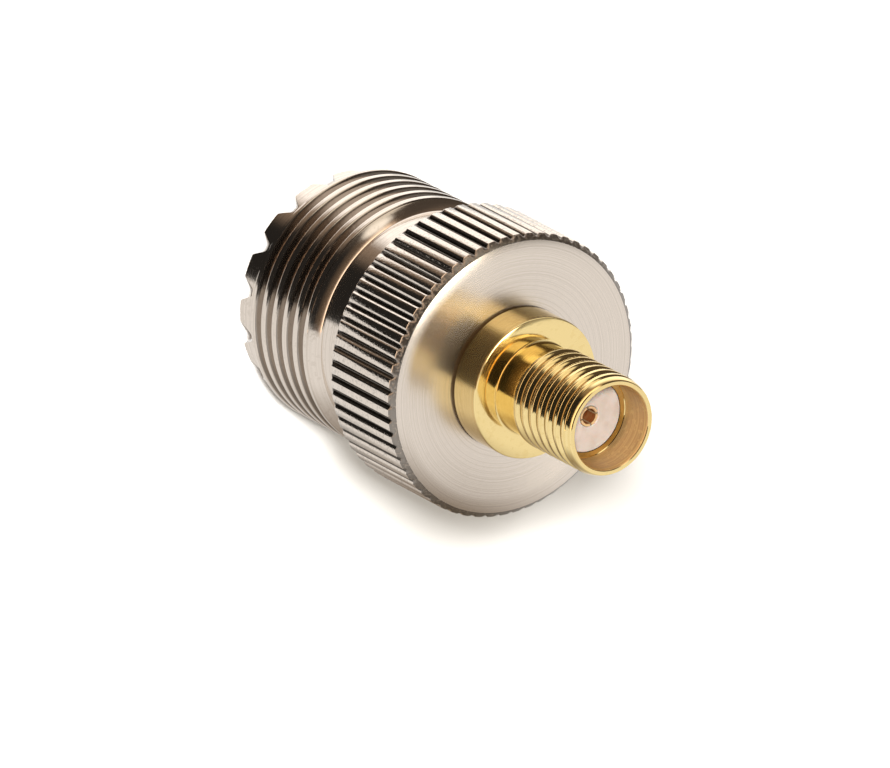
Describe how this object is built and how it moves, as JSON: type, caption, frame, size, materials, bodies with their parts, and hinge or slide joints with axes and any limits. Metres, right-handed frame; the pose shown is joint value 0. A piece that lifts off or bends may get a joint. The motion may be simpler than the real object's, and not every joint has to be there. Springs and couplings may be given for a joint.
{
  "type": "coaxial adapter",
  "caption": "Straight coaxial adapter with a castellated, threaded UHF socket, a knurled collar and a gold SMA socket on a round flange.",
  "frame": {"origin": "centre of the UHF rim, in the plane of its tooth tips, on which the adapter stands", "axes": "+Z along the common axis, from the UHF end up to the SMA end; +X and +Y pass through the middle of a notch"},
  "size_m": [0.0178, 0.0178, 0.0284],
  "materials": {
    "nickel_plate": "bright nickel plate on turned brass",
    "gold_plate": "bright gold plate on turned brass",
    "contact_gold": "satin gold plate",
    "ptfe": "waxy white PTFE"
  },
  "bodies": {
    "root": {"uhf_shell": "nickel_plate", "uhf_insulator": "ptfe", "uhf_contact": "contact_gold", "sma_body": "gold_plate", "sma_insulator": "ptfe", "sma_contact": "contact_gold"}
  },
  "joints": []
}
